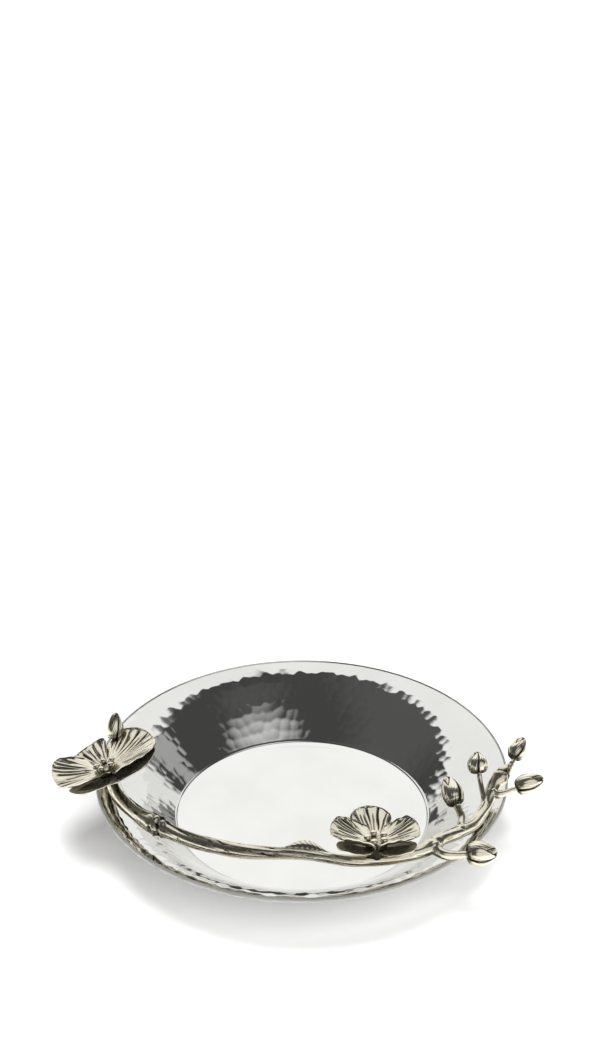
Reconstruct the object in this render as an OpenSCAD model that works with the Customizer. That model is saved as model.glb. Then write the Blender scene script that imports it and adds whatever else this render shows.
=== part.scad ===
// Wine bottle coaster: a hammered steel dish with a plated orchid branch round its front.
// The origin is on the dish's axis at table level, -Y faces the viewer and +Z is up.

/* [Dish] */
// Diameter over the rolled lip
rim_d = 162; // [150:1:190]
// Height of the lip above the table
rim_h = 22; // [16:0.5:32]
// Diameter of the flat floor that the bottle stands on
floor_d = 100; // [90:1:110]
// Thickness of the sheet
sheet_t = 1.4; // [1:0.1:2]
// Radius of the rolled lip
lip_r = 0.9; // [0.8:0.1:1.4]
// Height of the step round the floor
step_h = 0.5; // [0.2:0.1:1]
// Width of the step round the floor
step_w = 0.7; // [0.4:0.1:1.2]

/* [Branch] */
// Thickness of the branch near the large flower
branch_d = 5.6; // [4.6:0.1:6.6]
// Thickness of a twig where it leaves the branch
twig_d = 3; // [2.4:0.1:3.6]
// Clearance between pieces that seat on each other
seat_gap = 0.1; // [0.05:0.01:0.2]
// Width of the leaf that lies along the branch
leaf_w = 4; // [3:0.5:6]
// Thickness of the leaf
leaf_t = 0.8; // [0.6:0.1:1.2]

/* [Buds] */
// Length of a full bud
bud_l = 11.4; // [9:0.2:14]
// Width of a full bud
bud_d = 7.8; // [6:0.2:9]
// Number of folds round a bud
bud_folds = 5; // [3:1:7]

/* [Flowers] */
// Length of the large flower's longest petal, from the flower's axis
large_petal_l = 20.5; // [18:0.5:23]
// Length of the small flower's longest petal, from the flower's axis
small_petal_l = 17; // [15:0.5:19]
// Thickness of a petal at its middle line
petal_t = 1; // [0.8:0.1:1.3]
// Height of the sepals above the branch's middle line
stalk_h = 5; // [4.8:0.1:7]
// Height of the petals above the sepals
layer_h = 2.1; // [1.8:0.1:3]
// Radius of the flower's neck, which the petals' claws meet
neck_r = 2.4; // [1.8:0.1:2.8]
// Diameter of a bead at a flower's centre
bead_d = 2.7; // [2:0.1:3]
// Number of beads at a flower's centre
beads = 5; // [3:1:6]

/* [Fixing] */
// Diameter of the screws that hold the branch to the dish
screw_d = 3; // [2:0.5:3]
// Diameter of a screw's head
head_d = 5.4; // [4.5:0.1:6]
// Height of a screw's head
head_h = 1.6; // [1:0.1:2]
// Depth of a screw's hole in the branch
screw_depth = 2.4; // [1.5:0.1:2.8]
// Clearance between a screw and the dish's hole, on the radius
screw_gap = 0.15; // [0.05:0.05:0.3]
// Clearance between a screw and the branch's hole, on the radius
thread_gap = 0.03; // [0.01:0.01:0.1]

/* [Hidden] */

steel_colour = [0.80, 0.81, 0.82];
branch_colour = [0.74, 0.70, 0.62];
flower_colour = [0.78, 0.75, 0.68];
bud_colour = [0.70, 0.66, 0.57];
screw_colour = [0.55, 0.55, 0.56];

round_sides = 96;
bead_sides = 32;
wall_steps = 16;
branch_sides = 10;
twig_sides = 8;
overrun = 1;

// Sizes of the dish that follow from the driving ones
floor_r = floor_d / 2;
wall_end_r = rim_d / 2 - lip_r;
wall_w = wall_end_r - floor_r;
wall_low = sheet_t + step_h;
wall_rise = rim_h - lip_r + sheet_t / 2 - wall_low;
// Share of the wall's rise that is a straight slope, where the rest is a quarter wave
slope_share = 0.4;

// The wall's upper face and its slope at radius r from the dish's axis
function along_wall(r) = (r - floor_r) / wall_w;
function wall_z(r) = let (s = along_wall(r))
    wall_low + wall_rise * ((1 - slope_share) * sin(90 * s) + slope_share * s);
function wall_slope(r) = let (s = along_wall(r))
    atan(wall_rise / wall_w * ((1 - slope_share) * cos(90 * s) * PI / 2 + slope_share));

// A rod's place is [azimuth, share of the rim's radius, height over the rim as a share of branch_d,
// thickness share]; a height of LIES rests the rod on the wall.
LIES = undef;
function polar(azimuth, r, z) = [r * cos(azimuth), r * sin(azimuth), z];
lying_gap = 2 * seat_gap;
function lying_z(r, rod_r) = wall_z(r) + (rod_r + lying_gap) / cos(wall_slope(r));
function place(row, rod_d) = let (
        r = row[1] * rim_d / 2,
        rod_r = row[3] * rod_d / 2,
        z = is_undef(row[2]) ? lying_z(r, rod_r) : rim_h + row[2] * branch_d)
    concat(polar(row[0], r, z), rod_r);

// Smooth curve through rows of [x, y, z, radius], where row i lies at u = i
function cubic(a, b, c, d, t) = b + t * (c - a) / 2
    + t * t * (2 * a - 5 * b + 4 * c - d) / 2
    + t * t * t * (3 * b - a - 3 * c + d) / 2;
function clamped(rows, i) = rows[max(0, min(len(rows) - 1, i))];
function curve(rows, u) = let (i = min(floor(u), len(rows) - 2))
    cubic(clamped(rows, i - 1), rows[i], rows[i + 1], clamped(rows, i + 2), u - i);
function smooth(rows, steps) = [for (k = [0 : steps * (len(rows) - 1)]) curve(rows, k / steps)];

function unit(v) = v / norm(v);
function spot(row) = [row[0], row[1], row[2]];
function heading(line, i) = unit(spot(clamped(line, i + 1)) - spot(clamped(line, i - 1)));

// The line with a short narrowing ring before its start, and after its end where both is true
cap_reach_share = 0.45;
cap_thick_share = 0.62;
function cap_row(row, way) = concat(spot(row) + way * row[3] * cap_reach_share, row[3] * cap_thick_share);
function capped(line, both) = let (last = len(line) - 1)
    concat([cap_row(line[0], -heading(line, 0))], line, both ? [cap_row(line[last], heading(line, last))] : []);

// Branch, from the tail behind the large flower to the broken stub at the right
branch_shares = [
    [-180, 0.925, LIES, 0.62], [-175.5, 0.922, LIES, 0.90], [-171, 0.917, LIES, 1.04],
    [-162, 0.900, 0.36, 1.04], [-151, 0.867, 0.46, 1.08], [-144.5, 0.846, 0.54, 1.36],
    [-138, 0.825, 0.54, 1.02], [-130, 0.802, 0.54, 1.00], [-121, 0.775, 0.54, 1.00],
    [-112, 0.755, 0.54, 0.97], [-102, 0.733, 0.54, 0.84], [-91, 0.727, 0.54, 0.72],
    [-82, 0.752, 0.48, 0.72], [-74, 0.790, 0.36, 0.76], [-66, 0.825, 0.36, 0.84],
    [-59, 0.858, 0.41, 0.88], [-53, 0.884, 0.46, 0.94], [-48.5, 0.893, 0.54, 1.06],
    [-44, 0.890, 0.54, 0.92], [-37, 0.912, 0.39, 0.86], [-31, 0.925, LIES, 0.84],
    [-25.5, 0.927, LIES, 0.84], [-20.5, 0.929, LIES, 0.84], [-16.5, 0.934, 0.62, 0.88],
    [-13.8, 0.944, 0.92, 0.94], [-11.8, 0.966, 1.16, 1.12], [-9.6, 0.990, 1.40, 0.80]];
branch_rows = [for (row = branch_shares) place(row, branch_d)];
branch_steps = 2;
branch_line = capped(smooth(branch_rows, branch_steps), true);

// Rows of branch_shares that a screw, a flower or a twig sits on
tail_row = 0;
left_screw_row = 2;
right_screw_row = 21;
large_flower_row = 2;
small_flower_row = 14;
fork_row = 17;
inner_row = 19;
thin_row = 22;
outer_row = 23;
upper_row = len(branch_rows) - 1;

// Twigs, each to the foot of its bud, in rows like the branch's with a share of twig_d for thickness
tail_shares = [[-180, 0.925, 0.16, 0.80], [177.5, 0.922, 0.44, 0.80], [175, 0.920, 1.00, 0.78],
    [173.6, 0.921, 1.60, 0.80]];
low_shares = [[-48.4, 0.958, 0.42, 1.26], [-46, 1.004, 0.36, 1.00], [-43.5, 1.036, 0.34, 0.80]];
inner_shares = [[-33, 0.885, 0.70, 1.06], [-31.5, 0.858, 1.00, 0.94], [-29.8, 0.828, 1.26, 0.90]];
thin_shares = [[-18.5, 0.905, 0.62, 0.74], [-16, 0.883, 1.05, 0.66], [-13.6, 0.866, 1.62, 0.62]];
upper_shares = [[-8.2, 1.004, 1.52, 0.86], [-6.8, 1.017, 1.62, 0.66], [-5.6, 1.025, 1.78, 0.64]];
outer_shares = [[-17, 0.970, 0.66, 1.00], [-16.4, 1.004, 0.77, 0.84], [-14.6, 1.052, 0.96, 0.62]];
twig_steps = 3;
// Buds: [length share, width share]
tail_bud_shares = [0.90, 0.78];
low_bud_shares = [1.00, 1.12];
inner_bud_shares = [1.04, 1.00];
thin_bud_shares = [0.80, 0.94];
upper_bud_shares = [0.86, 0.86];
outer_bud_shares = [1.00, 0.96];
// Rows of a twig, which starts on the middle line of the branch at one of its rows
function twig_rows(root_row, shares) =
    concat([concat(spot(branch_rows[root_row]), shares[0][3] * twig_d / 2)],
        [for (row = shares) place(row, twig_d)]);
function tail_rows(shares) = [for (row = shares) place(row, twig_d)];

// How far each flower leans, in degrees: [about X, about Y]
large_leans = [-6, -20];
small_leans = [-7, 0];
// Petals: [azimuth, length share, half width share, half sector, tilt share]
large_left_shares = [204, 0.97, 0.64, 55, 0.10];
large_right_shares = [22, 0.98, 0.67, 62, -0.10];
large_back_shares = [118, 0.93, 0.50, 30, 0];
large_front_shares = [251, 0.90, 0.36, 37, 0];
large_side_shares = [336, 1.14, 0.52, 48, 0];
small_left_shares = [173, 1.03, 0.63, 49, 0.10];
small_right_shares = [14, 0.96, 0.60, 52, -0.10];
small_back_shares = [97, 1.05, 0.46, 26, 0];
small_front_shares = [204, 0.90, 0.26, 50, 0];
small_side_shares = [322, 0.90, 0.32, 50, 0];
// Outline, cup and ribs of a petal, as shares of its length or of its own width
widest_share = 0.56;
claw_share = 0.24;
tip_share = 0.10;
cup_share = 0.30;
cup_power = 1.5;
petal_curl_share = 0.22;
sepal_curl_share = 0.06;
rib_h = 0.22;
petal_ribs = 6;
sepal_ribs = 3;
// Thickness left at a petal's side edges
thin_edge_share = 0.7;
// Cap over the claws, and the flare of the neck below the sepals
cap_r_share = 2.00;
cap_t_share = 1.10;
cap_lift_share = 0.46;
cap_cone_share = 0.30;
flare_share = 0.72;
bead_ring_share = 1.40;
bead_seat_share = 0.7;

// Sizes that a screw's seat needs
screw_tip_gap = 0.2;
socket_d_share = 0.42;
socket_depth_share = 0.5;

// Triangles of a closed tube or blade; near and far are the first indices of two rings of n points
function band(near, far, n) = [for (k = [0 : n - 1]) let (m = (k + 1) % n)
    each [[near + k, near + m, far + m], [near + k, far + m, far + k]]];

// Rod with slightly uneven rings along a line of [x, y, z, radius], and flat ends; a rod that is
// a stretch of a longer one starts at the ring that first names, so that its rings are the same
cast_share = 0.035;
cast_turn = 55;
module rod(line, sides, first = 0) {
    rings = [for (i = [0 : len(line) - 1]) let (
            ahead = heading(line, i),
            right = unit(cross(ahead, [0, 0, 1])),
            above = cross(right, ahead))
        for (k = [0 : sides - 1]) let (
                a = 360 * k / sides,
                r = line[i][3] * (1 - cast_share + cast_share * sin(2 * a + cast_turn * (i + first))))
            spot(line[i]) + r * (cos(a) * right + sin(a) * above)];
    last = (len(line) - 1) * sides;
    sheets = [for (i = [0 : len(line) - 2]) each band(i * sides, (i + 1) * sides, sides)];
    ends = [[for (k = [sides - 1 : -1 : 0]) k], [for (k = [0 : sides - 1]) last + k]];
    polyhedron(points = rings, faces = concat(sheets, ends));
}

// Stretch of the branch about one of its rows, swollen by the clearance
cutter_reach = 3;
module swollen_branch(row) {
    middle = 1 + branch_steps * row;
    low = max(0, middle - cutter_reach);
    high = min(len(branch_line) - 1, middle + cutter_reach);
    function past_end(i) = i == 0 ? -seat_gap : (i == len(branch_line) - 1 ? seat_gap : 0);
    swollen = [for (i = [low : high]) let (row = branch_line[i])
        concat(spot(row) + past_end(i) * heading(branch_line, i), row[3] + seat_gap)];
    rod(swollen, branch_sides, low);
}

// Grid of a blade: ring i holds the upper points from side to side and then the lower points back
module blade(upper, lower, rows, columns) {
    n = 2 * columns + 2;
    points = [for (i = [0 : rows])
        each concat(
            [for (j = [0 : columns]) upper[i][j]],
            [for (j = [columns : -1 : 0]) lower[i][j]])];
    sheets = [for (i = [0 : rows - 1]) each band(i * n, (i + 1) * n, n)];
    function closing(first, turn) = [for (j = [0 : columns - 1]) let (
            a = first + j,
            b = first + j + 1,
            c = first + n - 2 - j,
            d = first + n - 1 - j)
        each turn ? [[a, c, b], [a, d, c]] : [[a, b, c], [a, c, d]]];
    polyhedron(points = points, faces = concat(sheets, closing(0, true), closing(rows * n, false)));
}

// Petal in its flower's own axes, from the neck out along the azimuth
petal_rows = 8;
module petal(shares, petal_l, base_z, curl_share, ribs) {
    start_x = neck_r + seat_gap;
    length = petal_l * shares[1];
    half_w = petal_l * shares[2];
    columns = 4 * ribs;
    function along(i) = sin(90 * i / petal_rows);
    function outline(u) = u < widest_share
        ? claw_share + (1 - claw_share) * sin(90 * u / widest_share)
        : max(tip_share, sqrt(1 - pow((u - widest_share) / (1 - widest_share), 2)));
    function x_at(u) = start_x + (length - start_x) * u;
    function half_at(u) = min(half_w * outline(u), x_at(u) * tan(shares[3]) - seat_gap);
    function top_z(u, v) = base_z
        + petal_l * cup_share * pow(x_at(u) / petal_l, cup_power)
        + half_w * (curl_share * v + shares[4]) * v * pow(sin(180 * u), 2)
        - rib_h * (1 - cos(360 * ribs * v / 2)) / 2 * sin(180 * u);
    function side(j) = 2 * j / columns - 1;
    function thick(v) = petal_t * (1 - (1 - thin_edge_share) * v * v);
    upper = [for (i = [0 : petal_rows]) let (u = along(i))
        [for (j = [0 : columns]) [x_at(u), side(j) * half_at(u), top_z(u, side(j))]]];
    lower = [for (i = [0 : petal_rows])
        [for (j = [0 : columns]) upper[i][j] - [0, 0, thick(side(j))]]];
    rotate([0, 0, shares[0]]) blade(upper, lower, petal_rows, columns);
}

// Neck of a flower: a flared foot cut to the branch, the neck, and the cap over the claws
cap_low = stalk_h + layer_h + petal_t * cap_lift_share;
cap_top = cap_low + petal_t * cap_t_share;
module neck() {
    foot_r = neck_r * flare_share;
    cap_r = neck_r * cap_r_share;
    cap_edge = cap_low + (cap_r - neck_r) * cap_cone_share;
    flare_top = stalk_h - petal_t - seat_gap;
    rotate_extrude($fn = round_sides) polygon([
        [0, 0], [foot_r, 0], [foot_r, flare_top / 2], [neck_r, flare_top],
        [neck_r, cap_low], [cap_r, cap_edge], [cap_r, cap_top], [0, cap_top]]);
}

// Ring of beads on the cap, each with a flat seat
module bead_ring() {
    bead_r = bead_d / 2;
    drop = bead_r * bead_seat_share;
    for (k = [0 : beads - 1]) rotate([0, 0, 360 * (k + 0.5) / beads])
        translate([neck_r * bead_ring_share, 0, cap_top + seat_gap + drop]) difference() {
            sphere(r = bead_r, $fn = bead_sides);
            translate([0, 0, -drop - bead_d / 2]) cube([bead_d, bead_d, bead_d], center = true);
        }
}

module at_flower(row, leans) {
    translate(spot(branch_rows[row])) rotate([leans[0], leans[1], 0]) children();
}
module at_large() at_flower(large_flower_row, large_leans) children();
module at_small() at_flower(small_flower_row, small_leans) children();

module sepal_of(shares, petal_l)
    petal(shares, petal_l, stalk_h, sepal_curl_share, sepal_ribs);
module petal_of(shares, petal_l)
    petal(shares, petal_l, stalk_h + layer_h, petal_curl_share, petal_ribs);

// Twig from the branch's middle line, cut to the branch's side
module twig(root_row, rows) {
    color(branch_colour) difference() {
        rod(smooth(rows, twig_steps), twig_sides);
        swollen_branch(root_row);
    }
}

// Pointed bud with folds, its foot at the origin and its tip up
bud_rows = 9;
bud_sides_each = 4;
bud_skew_share = 0.85;
bud_blunt_share = 0.62;
fold_share = 0.13;
fold_turn = 40;
module bud_shape(length, width, foot_r) {
    sides = bud_folds * bud_sides_each;
    function swell(u) = pow(sin(180 * pow(u, bud_skew_share)), bud_blunt_share);
    function fold(a) = 1 - fold_share * (1 - abs(sin(bud_folds * a / 2)));
    rings = [for (i = [0 : bud_rows - 1]) let (u = pow(sin(90 * i / bud_rows), 2))
        for (k = [0 : sides - 1]) let (
                a = 360 * k / sides,
                r = foot_r * (1 - u) + (width / 2 - foot_r / 2) * swell(u) * fold(a))
            [r * cos(a + fold_turn * u), -r * sin(a + fold_turn * u), length * u]];
    tip = len(rings);
    last = (bud_rows - 1) * sides;
    polyhedron(
        points = concat(rings, [[0, 0, length]]),
        faces = concat(
            [for (i = [0 : bud_rows - 2]) each band(i * sides, (i + 1) * sides, sides)],
            [for (k = [0 : sides - 1]) [last + k, last + (k + 1) % sides, tip]],
            [[for (k = [sides - 1 : -1 : 0]) k]]));
}

// Bud on the end of a twig, along its last stretch; the shares scale the full bud's length and width
module bud_on(rows, shares) {
    line = smooth(rows, twig_steps);
    last = len(line) - 1;
    way = heading(line, last);
    color(bud_colour) translate(spot(line[last]) + way * seat_gap)
        rotate([0, acos(way[2]), atan2(way[1], way[0])])
            bud_shape(bud_l * shares[0], bud_d * shares[1], line[last][3]);
}

// Hole or shank square to the wall below it, from one of the branch's rows that lies on the wall
module square_to_wall(row) {
    r = branch_shares[row][1] * rim_d / 2;
    slope = wall_slope(r + branch_rows[row][3] * sin(wall_slope(r)));
    translate(spot(branch_rows[row])) rotate([0, -slope, branch_shares[row][0]]) children();
}
module screw_hole(row, r, low, high) {
    square_to_wall(row) translate([0, 0, low]) cylinder(r = r, h = high - low, $fn = bead_sides);
}

module dish() {
    function under(r) = [r + sheet_t * sin(wall_slope(r)), wall_z(r) - sheet_t * cos(wall_slope(r))];
    function step_r(i) = floor_r + wall_w * i / wall_steps;
    color(steel_colour) difference() {
        union() {
            rotate_extrude($fn = round_sides) polygon(concat(
                [[0, 0], [floor_r, 0]],
                [for (i = [0 : wall_steps]) under(step_r(i))],
                [for (i = [wall_steps : -1 : 0]) [step_r(i), wall_z(step_r(i))]],
                [[floor_r - step_w, sheet_t], [0, sheet_t]]));
            rotate_extrude($fn = round_sides)
                translate([wall_end_r, rim_h - lip_r]) circle(r = lip_r, $fn = bead_sides);
        }
        for (row = [left_screw_row, right_screw_row])
            screw_hole(row, screw_d / 2 + screw_gap, -branch_rows[row][3] - sheet_t - overrun,
                -branch_rows[row][3] + overrun);
    }
}

module branch() {
    color(branch_colour) difference() {
        rod(branch_line, branch_sides);
        for (row = [left_screw_row, right_screw_row])
            screw_hole(row, screw_d / 2 + thread_gap, -branch_rows[row][3] - overrun,
                screw_depth - branch_rows[row][3]);
    }
}

module branch_screws() {
    color(screw_colour) for (row = [left_screw_row, right_screw_row]) {
        branch_low = -branch_rows[row][3];
        head_top = branch_low - lying_gap - sheet_t - 2 * seat_gap;
        tip = branch_low + screw_depth - screw_tip_gap;
        square_to_wall(row) difference() {
            union() {
                translate([0, 0, head_top]) cylinder(d = screw_d, h = tip - head_top, $fn = bead_sides);
                translate([0, 0, head_top - head_h]) cylinder(d = head_d, h = head_h, $fn = bead_sides);
            }
            translate([0, 0, head_top - head_h - overrun])
                cylinder(d = head_d * socket_d_share, h = overrun + head_h * socket_depth_share, $fn = 6);
        }
    }
}

// Leaf along the bottle's side of the branch, widest at its middle
leaf_start = 10.4;
leaf_end = 12.2;
leaf_rows = 10;
leaf_columns = 4;
leaf_angle = 25;
leaf_tip_share = 0.12;
leaf_arch_share = 0.12;
module leaf() {
    function root(t) = curve(branch_rows, leaf_start + (leaf_end - leaf_start) * t);
    function inward(p) = -unit([p[0], p[1], 0]);
    function out(p) = inward(p) * cos(leaf_angle) + [0, 0, sin(leaf_angle)];
    function over(p) = -inward(p) * sin(leaf_angle) + [0, 0, cos(leaf_angle)];
    function reach(t) = leaf_w * max(leaf_tip_share, sin(180 * t));
    upper = [for (i = [0 : leaf_rows]) let (t = i / leaf_rows, p = root(t))
        [for (j = [0 : leaf_columns]) let (v = j / leaf_columns)
            spot(p) + out(p) * (p[3] + seat_gap + reach(t) * v)
                + over(p) * (leaf_t / 2 + reach(t) * leaf_arch_share * sin(180 * v))]];
    lower = [for (i = [0 : leaf_rows]) let (p = root(i / leaf_rows))
        [for (j = [0 : leaf_columns]) upper[i][j] - over(p) * leaf_t]];
    color(flower_colour) blade(upper, lower, leaf_rows, leaf_columns);
}

module tail_twig() twig(tail_row, tail_rows(tail_shares));
module low_twig() twig(fork_row, twig_rows(fork_row, low_shares));
module inner_twig() twig(inner_row, twig_rows(inner_row, inner_shares));
module thin_twig() twig(thin_row, twig_rows(thin_row, thin_shares));
module upper_twig() twig(upper_row, twig_rows(upper_row, upper_shares));
module outer_twig() twig(outer_row, twig_rows(outer_row, outer_shares));

module tail_bud() bud_on(tail_rows(tail_shares), tail_bud_shares);
module low_bud() bud_on(twig_rows(fork_row, low_shares), low_bud_shares);
module inner_bud() bud_on(twig_rows(inner_row, inner_shares), inner_bud_shares);
module thin_bud() bud_on(twig_rows(thin_row, thin_shares), thin_bud_shares);
module upper_bud() bud_on(twig_rows(upper_row, upper_shares), upper_bud_shares);
module outer_bud() bud_on(twig_rows(outer_row, outer_shares), outer_bud_shares);

module large_neck() {
    color(flower_colour) difference() {
        at_large() neck();
        swollen_branch(large_flower_row);
    }
}
module large_beads() color(flower_colour) at_large() bead_ring();
module large_left_petal() color(flower_colour) at_large() petal_of(large_left_shares, large_petal_l);
module large_right_petal() color(flower_colour) at_large() petal_of(large_right_shares, large_petal_l);
module large_back_petal() color(flower_colour) at_large() petal_of(large_back_shares, large_petal_l);
module large_front_sepal() color(flower_colour) at_large() sepal_of(large_front_shares, large_petal_l);
module large_side_sepal() color(flower_colour) at_large() sepal_of(large_side_shares, large_petal_l);

module small_neck() {
    color(flower_colour) difference() {
        at_small() neck();
        swollen_branch(small_flower_row);
    }
}
module small_beads() color(flower_colour) at_small() bead_ring();
module small_left_petal() color(flower_colour) at_small() petal_of(small_left_shares, small_petal_l);
module small_right_petal() color(flower_colour) at_small() petal_of(small_right_shares, small_petal_l);
module small_back_petal() color(flower_colour) at_small() petal_of(small_back_shares, small_petal_l);
module small_front_sepal() color(flower_colour) at_small() sepal_of(small_front_shares, small_petal_l);
module small_side_sepal() color(flower_colour) at_small() sepal_of(small_side_shares, small_petal_l);

dish();
branch();
branch_screws();
leaf();
tail_twig();
tail_bud();
low_twig();
low_bud();
inner_twig();
inner_bud();
thin_twig();
thin_bud();
upper_twig();
upper_bud();
outer_twig();
outer_bud();
large_neck();
large_beads();
large_left_petal();
large_right_petal();
large_back_petal();
large_front_sepal();
large_side_sepal();
small_neck();
small_beads();
small_left_petal();
small_right_petal();
small_back_petal();
small_front_sepal();
small_side_sepal();
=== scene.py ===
"""Wine bottle coaster: a hammered, mirror-polished dish with a plated orchid branch round its rim.

Every piece is a surface worked out with numpy in millimetres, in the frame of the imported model:
the origin is on the dish's axis at table level, -Y faces the viewer and +Z is up.
"""

import bpy
import numpy as np
from mathutils import Matrix, Vector
from bpy.props import FloatProperty, FloatVectorProperty, IntProperty, PointerProperty


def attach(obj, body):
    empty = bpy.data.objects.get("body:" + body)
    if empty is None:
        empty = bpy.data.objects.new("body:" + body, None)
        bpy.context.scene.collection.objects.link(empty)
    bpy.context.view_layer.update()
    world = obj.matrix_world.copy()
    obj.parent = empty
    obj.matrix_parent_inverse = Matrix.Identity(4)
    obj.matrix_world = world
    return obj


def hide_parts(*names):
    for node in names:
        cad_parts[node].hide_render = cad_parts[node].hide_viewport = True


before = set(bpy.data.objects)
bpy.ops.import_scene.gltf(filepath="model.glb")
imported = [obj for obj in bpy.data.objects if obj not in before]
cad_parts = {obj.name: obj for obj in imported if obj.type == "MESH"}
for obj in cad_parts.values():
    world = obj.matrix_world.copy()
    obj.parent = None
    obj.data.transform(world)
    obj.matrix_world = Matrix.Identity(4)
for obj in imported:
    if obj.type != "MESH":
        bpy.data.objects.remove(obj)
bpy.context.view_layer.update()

bl_info = {
    "name": "Orchid Branch Coaster",
    "version": (1, 0, 0),
    "blender": (4, 5, 0),
    "location": "3D View > Sidebar > Coaster",
    "description": "Builds a hammered bottle coaster with an orchid branch round its rim",
    "category": "Add Mesh",
}

MM = 0.001
BODY = "root"
TURN = 2 * np.pi


# ---- sizes and colours

def metres(name, description, default, low, high):
    """A length for the panel."""
    return FloatProperty(name=name, description=description, default=default, min=low, max=high,
                         unit="LENGTH")


def hue(name, description, default):
    """A colour for the panel."""
    return FloatVectorProperty(name=name, description=description, default=default, min=0, max=1,
                               subtype="COLOR")


class CoasterSizes(bpy.types.PropertyGroup):
    """Sizes of the dish, the branch, the buds and the flowers."""
    rim_diameter: metres("Rim diameter", "Diameter over the rolled lip", 0.162, 0.15, 0.19)
    rim_height: metres("Rim height", "Height of the lip above the table", 0.022, 0.016, 0.032)
    floor_diameter: metres("Floor diameter", "Diameter of the flat floor", 0.1, 0.09, 0.11)
    sheet_thickness: metres(
        "Sheet thickness", "Thickness of the dish's sheet", 0.0014, 0.001, 0.002)
    blow_width: metres(
        "Hammer blow width", "Distance between the hammer blows on the wall", 0.0042, 0.003, 0.01)
    blow_depth: metres("Hammer blow depth", "Depth of a hammer blow", 0.00004, 0.0, 0.0005)
    branch_thickness: metres(
        "Branch thickness", "Thickness of the branch near the large flower", 0.0056, 0.0046, 0.0066)
    twig_thickness: metres(
        "Twig thickness", "Thickness of a twig where it leaves the branch", 0.003, 0.0024, 0.0036)
    bud_length: metres("Bud length", "Length of a full bud", 0.0114, 0.009, 0.014)
    bud_width: metres("Bud width", "Width of a full bud", 0.0078, 0.006, 0.009)
    large_petal: metres(
        "Large petal", "Length of the large flower's longest petal", 0.0205, 0.018, 0.023)
    small_petal: metres(
        "Small petal", "Length of the small flower's longest petal", 0.017, 0.015, 0.019)
    petal_thickness: metres(
        "Petal thickness", "Thickness of a petal at its middle line", 0.001, 0.0008, 0.0013)
    vein_height: metres("Vein height", "Height of a petal's veins", 0.00036, 0.0, 0.0005)
    bead_diameter: metres(
        "Bead diameter", "Diameter of a bead at a flower's centre", 0.0027, 0.002, 0.003)
    beads: IntProperty(
        name="Beads", description="Number of beads at a flower's centre",
        default=5, min=3, max=6)


class CoasterFinish(bpy.types.PropertyGroup):
    """Colours and polish of the metals and of the stage."""
    steel: hue("Steel", "Colour of the polished steel", (0.815, 0.812, 0.785))
    plate: hue("Plate", "Colour of the warm nickel plate", (0.77, 0.735, 0.61))
    # The patina colour is also the colour of the painted shade and painted dark reflections.
    patina_and_shade: hue("Patina", "Colour of the dark patina in the grooves", (0.050, 0.041, 0.030))
    table: hue("Table", "Colour of the pale table top", (0.90, 0.90, 0.90))


def sizes():
    return bpy.context.scene.coaster_sizes


def mm(name):
    """A size from the panel in millimetres."""
    return getattr(sizes(), name) / MM


# ---- meshes

def skin(rings, start, end):
    """Closed surface over rings of points: ring i is joined to ring i+1 point by point round the
    loop, and fans close the first and last rings to the start and end points. Returns the points,
    the four-sided and the three-sided faces."""
    count, sides = rings.shape[:2]
    k = np.arange(sides)
    near = (np.arange(count - 1)[:, None] * sides + k).ravel()
    near_next = (np.arange(count - 1)[:, None] * sides + (k + 1) % sides).ravel()
    quads = np.stack([near, near_next, near_next + sides, near + sides], 1)
    total, last = count * sides, (count - 1) * sides
    fans = np.vstack([
        np.stack([(k + 1) % sides, k, np.full(sides, total)], 1),
        np.stack([last + k, last + (k + 1) % sides, np.full(sides, total + 1)], 1)])
    return np.vstack([rings.reshape(-1, 3), [start], [end]]), quads, fans


def outward(points, quads, fans):
    """The faces, turned round if the volume that they enclose comes out negative."""
    triangles = np.vstack([quads[:, :3], quads[:, [0, 2, 3]], fans])
    a, b, c = (points[triangles[:, i]] for i in range(3))
    if np.einsum("ij,ij->i", a, np.cross(b, c)).sum() < 0:
        return quads[:, ::-1], fans[:, ::-1]
    return quads, fans


def join(parts):
    """Several surfaces and their patina and painted shade as one."""
    points, quads, fans, patina_and_shade, offset = [], [], [], [], 0
    for p, q, t, shade in parts:
        q, t = outward(p, q, t)
        points.append(p)
        quads.append(q + offset)
        fans.append(t + offset)
        patina_and_shade.append(shade)
        offset += len(p)
    return np.vstack(points), np.vstack(quads), np.vstack(fans), np.concatenate(patina_and_shade)


def add_piece(name, parts, material, node):
    """Puts surfaces in millimetres into one smooth mesh with an attribute of patina and painted
    shade, in the row frame, and makes it stand for its CAD node."""
    points, quads, fans, patina_and_shade = join(parts)
    mesh = bpy.data.meshes.new(name)
    mesh.vertices.add(len(points))
    mesh.vertices.foreach_set("co", (points * MM).ravel())
    corners = np.concatenate([quads.ravel(), fans.ravel()])
    totals = np.concatenate([np.full(len(quads), 4), np.full(len(fans), 3)])
    mesh.loops.add(len(corners))
    mesh.loops.foreach_set("vertex_index", corners)
    mesh.polygons.add(len(totals))
    mesh.polygons.foreach_set("loop_start", np.concatenate([[0], np.cumsum(totals)[:-1]]))
    mesh.polygons.foreach_set("loop_total", totals)
    mesh.polygons.foreach_set("use_smooth", np.ones(len(totals), bool))
    mesh.update(calc_edges=True)
    shade = mesh.attributes.new("patina_and_shade", "FLOAT", "POINT")
    shade.data.foreach_set("value", held(patina_and_shade))
    mesh.materials.append(material)
    if mesh.validate():
        raise RuntimeError(name + " has faulty faces")
    piece = bpy.data.objects.new(name, mesh)
    bpy.context.scene.collection.objects.link(piece)
    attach(piece, BODY)
    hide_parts(node)


# ---- curves and rods

# Height of a row that rests on the wall
LIES = None
# Share of the wall's rise that is a straight slope
WALL_SLOPE_SHARE = 0.4
# Millimetres: the floor's step, the lip, the gap at a joint, and how far aside a slope is measured
STEP_HEIGHT = 0.5
STEP_WIDTH = 0.7
LIP_RADIUS = 0.9
SEAT_GAP = 0.1
SLOPE_REACH = 0.01
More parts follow.
